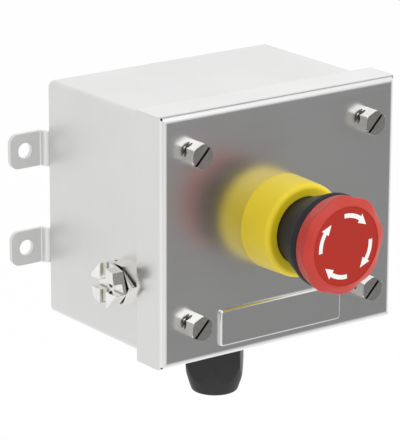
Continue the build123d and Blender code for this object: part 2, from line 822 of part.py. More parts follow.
def make_button_head():
    """The red mushroom head: a scalloped shell with a hub, ribs and a recess for the disc."""
    inner_radius = head_rear_radius - head_wall
    floor_rear = disc_rear_y + head_floor
    bore = spigot_radius + running_clearance
    disc_edge = disc_radius + running_clearance
    head = turned([
        (bore, hub_rear_y), (hub_radius, hub_rear_y), (hub_radius, floor_rear), (inner_radius, floor_rear),
        (inner_radius, head_rear_y), (head_rear_radius, head_rear_y), (head_radius, head_widest_y),
        (head_bevel_radius, head_widest_y - head_bevel_drop), (disc_edge + head_rim_land, head_front_y),
        (disc_edge, head_front_y), (disc_edge, disc_rear_y), (clip_recess_radius, disc_rear_y),
        (clip_recess_radius, clip_seat_y), (bore, clip_seat_y),
    ])
    for index in range(head_ribs):
        rib = box_between(hub_radius - overcut, inner_radius + overcut, floor_rear - overcut,
                          floor_rear + head_rib_depth, -head_rib_thickness / 2, head_rib_thickness / 2)
        head += Rot(0, 360 / head_ribs * index, 0) * rib
    for index in range(head_scallops):
        angle = head_valley_angle + 360 / head_scallops * index
        cutter = rod(head_scallop_radius, head_front_y - overcut, head_rear_y + overcut,
                     head_valley_radius + head_scallop_radius, 0)
        head -= Rot(0, -angle, 0) * cutter
    return head


def arrow_outline(tail_angle):
    """One curved arrow that runs clockwise round the button's centre."""
    tip_angle = tail_angle - (arrow_tail_angle - arrow_tip_angle)
    neck_angle = tip_angle + arrow_head_angle
    middle_angle = (tail_angle + neck_angle) / 2

    def place(radius, angle):
        turn = math.radians(angle)
        return (radius * math.cos(turn), radius * math.sin(turn))

    outer = arrow_radius + arrow_band / 2
    inner = arrow_radius - arrow_band / 2
    head_outer = arrow_radius + arrow_head_width / 2
    head_inner = arrow_radius - arrow_head_width / 2
    edges = ThreePointArc(place(outer, tail_angle), place(outer, middle_angle), place(outer, neck_angle))
    edges += Polyline(place(outer, neck_angle), place(head_outer, neck_angle), place(arrow_radius, tip_angle),
                      place(head_inner, neck_angle), place(inner, neck_angle))
    edges += ThreePointArc(place(inner, neck_angle), place(inner, middle_angle), place(inner, tail_angle))
    edges += Line(place(inner, tail_angle), place(outer, tail_angle))
    return make_face(edges)


def make_arrow(index):
    """One arrow inlay."""
    tail_angle = arrow_tail_angle + 360 / arrow_count * index
    return profile_along_y(arrow_outline(tail_angle), disc_front_y, disc_front_y + arrow_depth)


def make_button_disc():
    """The flat disc in the head, with the places of the arrows cut into it."""
    disc = rod(disc_radius, disc_front_y, disc_rear_y)
    for index in range(arrow_count):
        disc -= make_arrow(index)
    return disc


def make_head_clip():
    """The clip in the groove of the stem that holds the head."""
    y0 = clip_rear_y - clip_thickness
    inner = spigot_radius - clip_groove_depth
    clip = ring(clip_radius, inner, y0, clip_rear_y)
    return clip - box_between(-clip_slot_width / 2, clip_slot_width / 2, y0 - overcut, clip_rear_y + overcut,
                              -2 * clip_radius, 0)


def make_button_gaiter():
    """The black rubber gaiter from the barrel's flange through the collar's mouth to the head."""
    neck = collar_mouth_radius - gaiter_mouth_gap
    ridge_y = front - gaiter_ridge
    end_y = head_rear_y + part_gap
    bead_front = barrel_flange_front - gaiter_bead_height
    return turned([
        (neck, barrel_flange_front), (neck, collar_front), (gaiter_ridge_radius, ridge_y),
        (gaiter_end_radius, end_y), (gaiter_end_radius - gaiter_wall, end_y),
        (gaiter_ridge_radius - 2 * gaiter_wall, ridge_y), (neck - gaiter_wall, collar_front),
        (neck - gaiter_wall, bead_front), (neck - gaiter_bead_width, bead_front),
        (neck - gaiter_bead_width, barrel_flange_front),
    ])


def make_contact_carrier():
    """The frame that clips the contact blocks to the barrel."""
    outline = RectangleRounded(carrier_width, carrier_height, carrier_corner_radius)
    frame = profile_along_y(outline, carrier_front, block_front)
    hollow = RectangleRounded(carrier_width - 2 * carrier_wall, carrier_height - 2 * carrier_wall,
                              carrier_corner_radius)
    frame -= profile_along_y(hollow, barrel_rear, block_front + overcut)
    frame -= rod(barrel_radius + running_clearance, carrier_front - overcut, barrel_rear + overcut)
    frame -= box_between(-carrier_window_width / 2, carrier_window_width / 2, barrel_rear + carrier_wall,
                         block_front - carrier_wall, -carrier_height, carrier_height)
    return frame


def make_contact_block(side):
    """One contact block: a housing with the contact cavity and a terminal pocket at each end."""
    x = side * contact_x
    half_cavity = block_cavity_height / 2
    half_width = block_width / 2 - block_side_wall
    outline = RectangleRounded(block_width, carrier_height, block_corner_radius)
    housing = profile_along_y(outline, block_front, block_rear)
    housing -= box_between(-half_width, half_width, block_front + block_wall, block_rear + overcut,
                           -half_cavity, half_cavity)
    housing -= rod(contact_plunger_radius + running_clearance, block_front - overcut,
                   block_front + block_wall + overcut)
    strip_front = contact_face - fixed_contact_thickness
    for end in (-1, 1):
        z0, z1 = sorted((end * (half_cavity + partition), end * carrier_height))
        housing -= box_between(-half_width, half_width, contact_face, block_rear + overcut, z0, z1)
        z0, z1 = sorted((end * half_cavity, end * fixed_contact_outer))
        housing -= box_between(-fixed_contact_width / 2, fixed_contact_width / 2, strip_front, contact_face,
                               z0, z1)
        housing -= rod(terminal_screw_radius + thread_clearance,
                       contact_face - terminal_screw_length - overcut, contact_face, 0, end * terminal_z)
    return Pos(x, 0, 0) * housing


def make_contact_lid(side):
    """The lid that closes the contact cavity."""
    half_width = block_width / 2 - block_side_wall
    half_cavity = block_cavity_height / 2
    return Pos(side * contact_x, 0, 0) * box_between(
        -half_width, half_width, lid_front, block_rear, -half_cavity, half_cavity)


def make_fixed_contact(side, end):
    """A fixed contact strip with its contact button, from the cavity to the terminal pocket."""
    strip_front = contact_face - fixed_contact_thickness
    z0, z1 = sorted((end * fixed_contact_inner, end * fixed_contact_outer))
    strip = box_between(-fixed_contact_width / 2, fixed_contact_width / 2, strip_front, contact_face, z0, z1)
    strip -= rod(terminal_screw_radius + thread_clearance, strip_front - overcut, contact_face + overcut,
                 0, end * terminal_z)
    return Pos(side * contact_x, 0, 0) * strip


def make_terminal_screw(side, end):
    """A clamp screw on a fixed contact."""
    head_rear = contact_face + terminal_head_height
    screw = rod(terminal_screw_radius, contact_face - terminal_screw_length, contact_face + overcut)
    screw += rod(terminal_head_radius, contact_face, head_rear)
    screw -= box_between(-terminal_head_radius, terminal_head_radius, head_rear - terminal_slot_depth,
                         head_rear + overcut, -terminal_slot_width / 2, terminal_slot_width / 2)
    return Pos(side * contact_x, 0, end * terminal_z) * screw


def make_contact_plunger(side):
    """The plunger that pushes the bridge off the fixed contacts."""
    collar_front_y = block_front + block_wall
    plunger = rod(contact_plunger_radius, pusher_rear, contact_face)
    plunger += rod(contact_plunger_radius + contact_plunger_collar, collar_front_y,
                   collar_front_y + contact_plunger_collar)
    return Pos(side * contact_x, 0, 0) * plunger


def make_contact_bridge(side):
    """The bridge that joins the two fixed contacts."""
    outline = SlotOverall(bridge_length, bridge_width, rotation=90)
    return Pos(side * contact_x, 0, 0) * profile_along_y(outline, contact_face, bridge_rear)


def make_contact_spring(side):
    """The spring that keeps the bridge closed."""
    spring = spring_along_y(contact_spring_radius, contact_wire_radius, contact_spring_turns,
                            bridge_rear, lid_front)
    return Pos(side * contact_x, 0, 0) * spring


def make_terminal_rail():
    """The top-hat rail screwed to the bosses of the back wall."""
    web = rail_web_height / 2
    brim = rail_height / 2
    outline = make_face(Polyline(
        (rail_rear, -web), (rail_rear, web), (rail_front + rail_sheet, web), (rail_front + rail_sheet, brim),
        (rail_front, brim), (rail_front, web - rail_sheet), (rail_web_front, web - rail_sheet),
        (rail_web_front, -web + rail_sheet), (rail_front, -web + rail_sheet), (rail_front, -brim),
        (rail_front + rail_sheet, -brim), (rail_front + rail_sheet, -web), close=True,
    ))
    rail = Pos(-rail_length / 2, 0, rail_z) * extrude(Plane.YZ * outline, rail_length)
    for side in (-1, 1):
        x = side * rail_screw_spacing / 2
        rail -= rod(rail_screw_radius + thread_clearance, rail_web_front - overcut, rail_rear + overcut,
                    x, rail_z)
    return rail


def make_rail_screw(side):
    """A pan-head screw that holds the rail."""
    head_front_end = rail_web_front - rail_screw_head_height
    screw = rod(rail_screw_radius, rail_web_front - overcut, rail_web_front + rail_screw_length - rail_sheet)
    head = rod(rail_screw_head_radius, head_front_end, rail_web_front)
    edge = head.edges().filter_by(GeomType.CIRCLE).sort_by(Axis.Y)[0]
    screw += fillet(edge, rail_screw_edge_radius)
    screw -= box_between(-rail_screw_head_radius, rail_screw_head_radius, head_front_end - overcut,
                         head_front_end + terminal_slot_depth, -terminal_slot_width / 2,
                         terminal_slot_width / 2)
    return Pos(side * rail_screw_spacing / 2, 0, rail_z) * screw


def rail_terminal_x(index):
    """The place of one rail terminal along the rail."""
    return (index - (rail_terminal_count - 1) / 2) * rail_terminal_pitch


def make_rail_terminal(index):
    """One rail terminal: stepped shoulders, a wire funnel on each side, screw wells and rail claws."""
    half = rail_terminal_height / 2
    front_end = rail_front - rail_terminal_depth
    shoulder = front_end + rail_terminal_shoulder
    claw_in = rail_height / 2 + rail_clearance
    claw_out = claw_in + rail_claw_thickness
    claw_rear = rail_front + rail_terminal_claw
    hook = claw_rear - (rail_terminal_claw - rail_sheet - rail_clearance)
    right = [
        (front_end, half - rail_terminal_shoulder), (shoulder, half), (rail_front - rail_terminal_claw, half),
        (rail_front, claw_out), (claw_rear, claw_out), (claw_rear, claw_in - rail_claw_hook),
        (hook, claw_in - rail_claw_hook), (hook, claw_in), (rail_front, claw_in),
    ]
    left = [(y, -z) for y, z in reversed(right)]
    outline = make_face(Polyline(*right, *left, close=True))
    body = Pos(-rail_terminal_width / 2, 0, 0) * extrude(Plane.YZ * outline, rail_terminal_width)
    funnel_y = (shoulder + rail_front) / 2
    for end in (-1, 1):
        z0, z1 = sorted((end * (half - wire_funnel_depth), end * (half + overcut)))
        body -= upright_rod(wire_funnel_radius, z0, z1, 0, funnel_y)
        body -= rod(rail_terminal_screw_radius + thread_clearance, front_end - overcut,
                    front_end + rail_terminal_screw_sink + rail_terminal_screw_length, 0,
                    end * rail_terminal_screw_z)
    return Pos(rail_terminal_x(index), 0, rail_z) * body


def make_rail_terminal_screw(index, end):
    """A clamp screw in a rail terminal."""
    top = rail_front - rail_terminal_depth + rail_terminal_screw_sink
    screw = rod(rail_terminal_screw_radius, top, top + rail_terminal_screw_length)
    screw -= box_between(-rail_terminal_screw_radius, rail_terminal_screw_radius, top - overcut,
                         top + terminal_slot_depth, -terminal_slot_width / 2, terminal_slot_width / 2)
    return Pos(rail_terminal_x(index), 0, rail_z + end * rail_terminal_screw_z) * screw


def build_nodes():
    """Every named piece; a group of like pieces is a list of solids."""
    both = (-1, 1)
    terminals = range(rail_terminal_count)
    nodes = {
        "enclosure_box": make_enclosure_box(),
        "screw_posts": [make_screw_post(sx, sz) for _, sx, sz in cover_corners()],
        "mounting_strap_upper": make_mounting_strap(strap_hole_spacing_z / 2),
        "mounting_strap_lower": make_mounting_strap(-strap_hole_spacing_z / 2),
        "cover": make_cover(),
        "cover_gasket": make_cover_gasket(),
        "label_plate": make_label_plate(),
        "screw_seal_rings": [make_screw_seal_ring(sx, sz) for _, sx, sz in cover_corners()],
        "screw_retaining_rings": [make_retaining_ring(sx, sz) for _, sx, sz in cover_corners()],
        "earth_terminal": make_earth_terminal(),
        "earth_clamp_screw": make_earth_clamp_screw(),
        "earth_washer": make_earth_washer(),
        "earth_spring_washer": make_earth_spring_washer(),
        "earth_nut": make_earth_nut(),
        "gland_body": make_gland_body(),
        "gland_washer": make_gland_washer(),
        "gland_lock_nut": make_gland_lock_nut(),
        "gland_seal": make_gland_seal(),
        "gland_basket": make_gland_basket(),
        "gland_dome_nut": make_gland_dome_nut(),
        "button_collar": make_button_collar(),
        "panel_seal": make_panel_seal(),
        "actuator_barrel": make_actuator_barrel(),
        "barrel_lock_washer": make_barrel_lock_washer(),
        "barrel_nut": make_barrel_nut(),
        "push_stem": make_push_stem(),
        "latch_ring": make_latch_ring(),
        "return_spring": make_return_spring(),
        "pusher": make_pusher(),
        "button_head": make_button_head(),
        "button_disc": make_button_disc(),
        "arrow_inlays": [make_arrow(index) for index in range(arrow_count)],
        "head_clip": make_head_clip(),
        "button_gaiter": make_button_gaiter(),
        "contact_carrier": make_contact_carrier(),
        "fixed_contacts": [make_fixed_contact(side, end) for side in both for end in both],
        "contact_terminal_screws": [make_terminal_screw(side, end) for side in both for end in both],
        "terminal_rail": make_terminal_rail(),
        "rail_screws": [make_rail_screw(side) for side in both],
        "rail_terminals": [make_rail_terminal(index) for index in terminals],
        "rail_terminal_screws": [make_rail_terminal_screw(index, end) for index in terminals for end in both],
    }
    for name, side_x, side_z in cover_corners():
        nodes["cover_screw_" + name] = make_cover_screw(side_x, side_z)
    for name, side in (("left", -1), ("right", 1)):
        nodes["contact_block_" + name] = make_contact_block(side)
        nodes["contact_lid_" + name] = make_contact_lid(side)
        nodes["contact_plunger_" + name] = make_contact_plunger(side)
        nodes["contact_bridge_" + name] = make_contact_bridge(side)
        nodes["contact_spring_" + name] = make_contact_spring(side)
    return nodes


os.makedirs("parts", exist_ok=True)
for node_name, shape in build_nodes().items():
    solids = shape if isinstance(shape, list) else [shape]
    export_step(Compound(children=[solid for piece in solids for solid in piece.solids()]),
                "parts/" + node_name + ".step")
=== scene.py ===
import math

import bmesh
import bpy
from mathutils import Matrix, Quaternion, Vector


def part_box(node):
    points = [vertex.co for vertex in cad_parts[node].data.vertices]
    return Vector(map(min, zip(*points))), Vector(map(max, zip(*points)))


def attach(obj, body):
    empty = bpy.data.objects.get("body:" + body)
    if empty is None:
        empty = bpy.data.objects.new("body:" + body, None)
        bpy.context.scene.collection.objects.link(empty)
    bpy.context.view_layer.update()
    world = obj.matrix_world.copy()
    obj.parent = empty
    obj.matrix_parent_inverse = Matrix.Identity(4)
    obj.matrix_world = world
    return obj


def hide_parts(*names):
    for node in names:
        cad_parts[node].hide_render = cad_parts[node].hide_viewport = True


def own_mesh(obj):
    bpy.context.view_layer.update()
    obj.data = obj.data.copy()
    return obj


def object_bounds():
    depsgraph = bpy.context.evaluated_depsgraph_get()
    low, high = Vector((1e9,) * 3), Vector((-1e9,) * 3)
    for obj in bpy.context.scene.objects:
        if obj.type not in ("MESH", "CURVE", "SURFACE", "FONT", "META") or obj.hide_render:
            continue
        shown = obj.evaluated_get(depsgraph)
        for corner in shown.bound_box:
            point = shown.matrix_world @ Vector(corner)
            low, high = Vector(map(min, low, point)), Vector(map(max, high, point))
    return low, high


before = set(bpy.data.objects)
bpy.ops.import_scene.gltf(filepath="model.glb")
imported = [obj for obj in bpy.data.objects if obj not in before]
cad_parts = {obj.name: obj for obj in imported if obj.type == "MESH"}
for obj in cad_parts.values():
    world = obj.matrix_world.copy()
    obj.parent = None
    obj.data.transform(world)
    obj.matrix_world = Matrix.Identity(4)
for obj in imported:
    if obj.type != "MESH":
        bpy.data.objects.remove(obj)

# Emergency stop station. Blender metres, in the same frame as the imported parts:
# wall plane y = 0, front towards -Y, +X to the right seen from the front, +Z up.

MM = 0.001
cad_low, cad_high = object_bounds()


# Camera and stage

CAMERA_PLACE = Vector((-746.9, -1052.6, 368.2)) * MM
CAMERA_TARGET = Vector((-42.5, -93.0, 8.1)) * MM
CAMERA_ROLL = math.radians(0.16)
CAMERA_LENS = 243.97
CAMERA_SENSOR = 36.0
FLOOR_DEPTH = 300 * MM
FLOOR_SIDE = 8.0
FLOOR_GREY = 0.9
FLOOR_GLOW = 0.85

# The surroundings, darker towards three directions that the steel mirrors in the photograph's view.
# Each list gives the brightness at a number of degrees from its direction.
SURROUNDINGS = 1.1
FRONT_PATCH = Vector((0.62, -0.72, -0.30)).normalized()
FRONT_LEVELS = (
    (0, 0.22), (9, 0.22), (17, 0.43), (27, 0.82), (40, 0.95),
    (75, 1.10), (94, 1.12), (106, 0.98), (138, 0.86), (180, 0.84),
)
OVERHEAD_PATCH = Vector((0.52, 0.10, 0.83)).normalized()
OVERHEAD_LEVELS = ((0, 0.22), (8, 0.28), (19, 1.0), (180, 1.0))
LEFT_PATCH = Vector((-0.58, -0.80, 0.13)).normalized()
LEFT_LEVELS = ((0, 0.22), (10, 0.30), (24, 0.85), (36, 1.0), (180, 1.0))

# Soft boxes: place and size in metres, power in watts
LAMP_AIM = Vector((0, -0.09, 0))
KEY_PLACE = Vector((0.22, -1.25, 1.0))
KEY_SIZE = 1.1
KEY_WATTS = 3.5
FILL_PLACE = Vector((0.60, -1.60, 0.10))
FILL_SIZE = 0.6
FILL_WATTS = 5.0


def make_camera():
    """The camera at the photograph's viewing angle."""
    data = bpy.data.cameras.new("camera")
    data.lens = CAMERA_LENS
    data.sensor_width = CAMERA_SENSOR
    data.clip_start = 0.05
    data.clip_end = 50.0
    camera = bpy.data.objects.new("camera", data)
    bpy.context.scene.collection.objects.link(camera)
    camera.location = CAMERA_PLACE
    camera.rotation_mode = "QUATERNION"
    aim = (CAMERA_TARGET - CAMERA_PLACE).to_track_quat("-Z", "Y")
    camera.rotation_quaternion = aim @ Quaternion((0, 0, 1), CAMERA_ROLL)
    bpy.context.scene.camera = camera


def light_levels(tree, place, direction, levels):
    """Brightness by the angle in degrees between a place in the surroundings and a direction."""
    dot = tree.nodes.new("ShaderNodeVectorMath")
    dot.operation = "DOT_PRODUCT"
    dot.inputs[1].default_value = direction
    tree.links.new(place, dot.inputs[0])
    angle = tree.nodes.new("ShaderNodeMath")
    angle.operation = "ARCCOSINE"
    tree.links.new(dot.outputs["Value"], angle.inputs[0])
    spread = tree.nodes.new("ShaderNodeMapRange")
    spread.inputs["From Max"].default_value = math.pi
    tree.links.new(angle.outputs["Value"], spread.inputs["Value"])
    ramp = tree.nodes.new("ShaderNodeValToRGB")
    ramp.color_ramp.interpolation = "EASE"
    stops = ramp.color_ramp.elements
    while len(stops) < len(levels):
        stops.new(0.5)
    for stop, (degrees, level) in zip(stops, levels):
        stop.position = degrees / 180
        stop.color = (level, level, level, 1)
    tree.links.new(spread.outputs["Result"], ramp.inputs["Fac"])
    return ramp.outputs["Color"]


def make_world():
    """Soft studio surroundings with three darker patches; the camera itself sees plain white."""
    world = bpy.data.worlds.new("studio")
    bpy.context.scene.world = world
    world.use_nodes = True
    nodes = world.node_tree.nodes
    links = world.node_tree.links
    nodes.clear()
    place = nodes.new("ShaderNodeTexCoord").outputs["Generated"]
    level = light_levels(world.node_tree, place, FRONT_PATCH, FRONT_LEVELS)
    for direction, levels in ((OVERHEAD_PATCH, OVERHEAD_LEVELS), (LEFT_PATCH, LEFT_LEVELS)):
        product = nodes.new("ShaderNodeVectorMath")
        product.operation = "MULTIPLY"
        links.new(level, product.inputs[0])
        links.new(light_levels(world.node_tree, place, direction, levels), product.inputs[1])
        level = product.outputs["Vector"]
    around = nodes.new("ShaderNodeBackground")
    around.inputs["Strength"].default_value = SURROUNDINGS
    links.new(level, around.inputs["Color"])
    white = nodes.new("ShaderNodeBackground")
    white.inputs["Color"].default_value = (1, 1, 1, 1)
    path = nodes.new("ShaderNodeLightPath")
    choice = nodes.new("ShaderNodeMixShader")
    links.new(path.outputs["Is Camera Ray"], choice.inputs["Fac"])
    links.new(around.outputs["Background"], choice.inputs[1])
    links.new(white.outputs["Background"], choice.inputs[2])
    output = nodes.new("ShaderNodeOutputWorld")
    links.new(choice.outputs["Shader"], output.inputs["Surface"])


def make_floor():
    """The plain pale floor, well below the station, which hangs on its wall straps."""
    mesh = bpy.data.meshes.new("floor")
    height = cad_low.z - FLOOR_DEPTH
    corners = [(x, y, height) for x, y in rectangle(FLOOR_SIDE, FLOOR_SIDE)]
    mesh.from_pydata(corners, [], [(0, 1, 2, 3)])
    floor = bpy.data.objects.new("floor", mesh)
    bpy.context.scene.collection.objects.link(floor)
    material = bpy.data.materials.new("floor")
    material.use_nodes = True
    nodes = material.node_tree.nodes
    links = material.node_tree.links
    nodes.clear()
    diffuse = nodes.new("ShaderNodeBsdfDiffuse")
    diffuse.inputs["Color"].default_value = (FLOOR_GREY, FLOOR_GREY, FLOOR_GREY, 1)
    glow = nodes.new("ShaderNodeEmission")
    path = nodes.new("ShaderNodeLightPath")
    share = nodes.new("ShaderNodeMath")
    share.operation = "MULTIPLY"
    share.inputs[1].default_value = FLOOR_GLOW
    links.new(path.outputs["Is Camera Ray"], share.inputs[0])
    mix = nodes.new("ShaderNodeMixShader")
    links.new(share.outputs["Value"], mix.inputs["Fac"])
    links.new(diffuse.outputs["BSDF"], mix.inputs[1])
    links.new(glow.outputs["Emission"], mix.inputs[2])
    output = nodes.new("ShaderNodeOutputMaterial")
    links.new(mix.outputs["Shader"], output.inputs["Surface"])
    mesh.materials.append(material)
    floor.visible_glossy = False


def make_lamp(name, place, size, watts, mirrored=True):
    """One soft box; where it isn't mirrored, gloss and metal don't show it."""
    data = bpy.data.lights.new(name, "AREA")
    data.shape = "SQUARE"
    data.size = size
    data.energy = watts
    lamp = bpy.data.objects.new(name, data)
    bpy.context.scene.collection.objects.link(lamp)
    lamp.location = place
    lamp.rotation_mode = "QUATERNION"
    lamp.rotation_quaternion = (LAMP_AIM - place).to_track_quat("-Z", "Y")
    lamp.visible_glossy = mirrored


# Materials

class Finish:
    """A node material with one shader, and short ways to add its patterns."""

    def __init__(self, name, colour, roughness, metallic=0.0, gloss=0.5):
        self.material = bpy.data.materials.new(name)
        self.material.use_nodes = True
        self.nodes = self.material.node_tree.nodes
        self.links = self.material.node_tree.links
        self.shader = self.nodes["Principled BSDF"]
        self.shader.inputs["Base Color"].default_value = (*colour, 1)
        self.shader.inputs["Roughness"].default_value = roughness
        self.shader.inputs["Metallic"].default_value = metallic
        self.shader.inputs["Specular IOR Level"].default_value = gloss
        self.place = self.nodes.new("ShaderNodeTexCoord").outputs["Object"]

    def noise(self, scale, detail, stretch=(1, 1, 1)):
        """Noise over the piece, with this many cells to the metre along each axis."""
        mapping = self.nodes.new("ShaderNodeMapping")
        mapping.inputs["Scale"].default_value = stretch
        self.links.new(self.place, mapping.inputs["Vector"])
        noise = self.nodes.new("ShaderNodeTexNoise")
        noise.inputs["Scale"].default_value = scale
        noise.inputs["Detail"].default_value = detail
        self.links.new(mapping.outputs["Vector"], noise.inputs["Vector"])
        return noise.outputs["Fac"]

    def cells(self, scale):
        """Voronoi distance over the piece."""
        cells = self.nodes.new("ShaderNodeTexVoronoi")
        cells.inputs["Scale"].default_value = scale
        self.links.new(self.place, cells.inputs["Vector"])
        return cells.outputs["Distance"]

    def between(self, source, low, high, start=0.35, end=0.65):
        """A number that runs from low to high while the source runs from start to end."""
        span = self.nodes.new("ShaderNodeMapRange")
        span.inputs["From Min"].default_value = start
        span.inputs["From Max"].default_value = end
        span.inputs["To Min"].default_value = low
        span.inputs["To Max"].default_value = high
        self.links.new(source, span.inputs["Value"])
        return span.outputs["Result"]

    def tint(self, source, dark, light, start=0.35, end=0.65):
        """The base colour runs from dark to light while the source runs from start to end."""
        ramp = self.nodes.new("ShaderNodeValToRGB")
        ramp.color_ramp.elements[0].position = start
        ramp.color_ramp.elements[0].color = (*dark, 1)
        ramp.color_ramp.elements[1].position = end
        ramp.color_ramp.elements[1].color = (*light, 1)
        self.links.new(source, ramp.inputs["Fac"])
        self.links.new(ramp.outputs["Color"], self.shader.inputs["Base Color"])

    def paint_hollow_shade(self, reach):
        """Painted shade: darkens the base colour by ambient occlusion in slots, holes and inner corners
        narrower than this reach in metres.
        """
        hollows = self.nodes.new("ShaderNodeAmbientOcclusion")
        hollows.inputs["Distance"].default_value = reach
        hollows.only_local = True
        hollow_shade = self.between(hollows.outputs["AO"], 0.25, 1.0, end=0.85)
        tint = self.nodes.new("ShaderNodeVectorMath")
        tint.operation = "SCALE"
        self.links.new(self.shader.inputs["Base Color"].links[0].from_socket, tint.inputs[0])
        self.links.new(hollow_shade, tint.inputs["Scale"])
        self.links.new(tint.outputs["Vector"], self.shader.inputs["Base Color"])

    def rough(self, source, low, high, start=0.35, end=0.65):
        """The roughness runs from low to high while the source runs from start to end."""
        self.links.new(self.between(source, low, high, start, end), self.shader.inputs["Roughness"])

    def bump(self, source, distance, strength=1.0):
        """Relief of this depth in metres."""
        bump = self.nodes.new("ShaderNodeBump")
        bump.inputs["Distance"].default_value = distance
        bump.inputs["Strength"].default_value = strength
        self.links.new(source, bump.inputs["Height"])
        if self.shader.inputs["Normal"].is_linked:
            self.links.new(self.shader.inputs["Normal"].links[0].from_socket, bump.inputs["Normal"])
        self.links.new(bump.outputs["Normal"], self.shader.inputs["Normal"])


def shades(colour, spread):
    """A darker and a lighter version of a colour."""
    return tuple(c * (1 - spread) for c in colour), tuple(min(1, c * (1 + spread)) for c in colour)


def sheet_steel(name, colour, roughness, grain, contrast=0.03):
    """Ground stainless sheet: fine streaks along one axis, faint clouds of handling."""
    finish = Finish(name, colour, roughness, metallic=1.0)
    clouds = finish.noise(28.0, detail=4.0)
    streaks = finish.noise(1500.0, detail=2.0, stretch=grain)
    finish.tint(clouds, *shades(colour, spread=0.02))
    finish.rough(streaks, roughness * (1 - contrast), roughness * (1 + contrast))
    finish.bump(clouds, distance=0.000002, strength=0.2)
    return finish.material


def machined_metal(name, colour, roughness, scale=900.0):
    """Turned or milled metal: fine tool grain, slight differences of polish, painted shade in slots and
    holes.
    """
    finish = Finish(name, colour, roughness, metallic=1.0)
    grain = finish.noise(scale, detail=4.0)
    patches = finish.noise(110.0, detail=2.0)
    finish.tint(patches, *shades(colour, spread=0.06))
    # Painted shade in the slots, holes and inner corners.
    finish.paint_hollow_shade(reach=0.0018)
    finish.rough(grain, roughness * 0.8, roughness * 1.25)
    finish.bump(grain, distance=0.000003, strength=0.5)
    return finish.material


def moulded_plastic(name, colour, roughness, gloss=0.5, texture=0.00001):
    """Moulded plastic or rubber: fine spark texture, faint flow marks."""
    finish = Finish(name, colour, roughness, gloss=gloss)
    flow = finish.noise(45.0, detail=3.0)
    spark = finish.noise(2600.0, detail=2.0)
    finish.tint(flow, *shades(colour, spread=0.03))
    finish.rough(flow, roughness * 0.9, roughness * 1.12)
    finish.bump(spark, texture, strength=0.35)
    return finish.material


def cell_foam(name, dark, light, roughness):
    """Foam rubber with open pores."""
    finish = Finish(name, light, roughness)
    pores = finish.cells(1800.0)
    finish.tint(pores, dark, light, start=0.1, end=0.6)
    finish.bump(pores, distance=0.00015)
    return finish.material


# Colour, roughness, stretch of the streaks (long along the grain) and, where it differs, their contrast
SHEETS = {
    "cover_steel": ((0.74, 0.74, 0.735), 0.26, (0.04, 1, 1)),
    "box_steel": ((0.74, 0.74, 0.735), 0.38, (1, 0.04, 1)),
    "strap_steel": ((0.76, 0.76, 0.755), 0.46, (0.04, 1, 1)),
    "label_steel": ((0.72, 0.72, 0.715), 0.26, (0.04, 1, 1), 0.006),
}

# Colour, roughness and, where it differs, the scale of the tool grain
METALS = {
    "bright_steel": ((0.62, 0.61, 0.585), 0.2),
    "polished_steel": ((0.88, 0.87, 0.84), 0.13),
    # Darker steel for the screws' slots and wire holes: painted shade.
    "dull_steel": ((0.17, 0.168, 0.16), 0.5),
    "spring_steel": ((0.55, 0.55, 0.55), 0.25),
    "zinc": ((0.66, 0.68, 0.70), 0.33, 500.0),
    "brass": ((0.80, 0.62, 0.30), 0.24),
}

# Colour, roughness and, where they differ, gloss and depth of the texture in metres
PLASTICS = {
    "yellow_plastic": ((0.78, 0.60, 0.018), 0.36, 0.4),
    "red_plastic": ((0.46, 0.032, 0.020), 0.42, 0.4),
    "red_disc": ((0.35, 0.020, 0.011), 0.6, 0.2),
    "white_inlay": ((0.74, 0.74, 0.72), 0.45),
    "black_rubber": ((0.016, 0.016, 0.020), 0.55, 0.25, 0.00002),
    "black_plastic": ((0.026, 0.026, 0.027), 0.45, 0.2),
    "grey_plastic": ((0.36, 0.37, 0.37), 0.45),
}


def make_materials():
    """Every finish, by name."""
    materials = {"foam": cell_foam("foam", (0.012, 0.012, 0.012), (0.045, 0.045, 0.045), 0.95)}
    for kind, table in ((sheet_steel, SHEETS), (machined_metal, METALS), (moulded_plastic, PLASTICS)):
        for name, settings in table.items():
            materials[name] = kind(name, *settings)
    return materials


# Meshes

def new_piece(name, mesh, material, body, sharp=math.radians(35)):
    """An object for a finished mesh, smooth except at its sharp edges."""
    for face in mesh.polygons:
        face.use_smooth = True
    mesh.set_sharp_from_angle(angle=sharp)
    if material:
        mesh.materials.append(material)
    piece = bpy.data.objects.new(name, mesh)
    bpy.context.scene.collection.objects.link(piece)
    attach(piece, body)
    return piece


def turned_mesh(name, profile, segments, radius_at=None):
    """A closed surface of revolution about the Y axis from (radius, y) points in mm, in a loop."""
    bm = bmesh.new()
    loops = []
    for radius, y in profile:
        loop = []
        for index in range(segments):
            angle = 2 * math.pi * index / segments
            r = radius_at(angle, radius, y) if radius_at else radius
            loop.append(bm.verts.new((r * math.cos(angle) * MM, y * MM, r * math.sin(angle) * MM)))
        loops.append(loop)
    for first, second in zip(loops, loops[1:] + loops[:1]):
        for index in range(segments):
            after = (index + 1) % segments
            bm.faces.new((first[index], first[after], second[after], second[index]))
    bmesh.ops.remove_doubles(bm, verts=bm.verts, dist=0.01 * MM)
    bmesh.ops.recalc_face_normals(bm, faces=bm.faces)
    mesh = bpy.data.meshes.new(name)
    bm.to_mesh(mesh)
    bm.free()
    return mesh


def hexagon_radius(angle, across_flats, corner_angle):
    """The distance from the middle of a hexagon to its side at this angle; angles in radians."""
    off_flat = (angle - corner_angle) % (math.pi / 3) - math.pi / 6
    return across_flats / 2 / math.cos(off_flat)


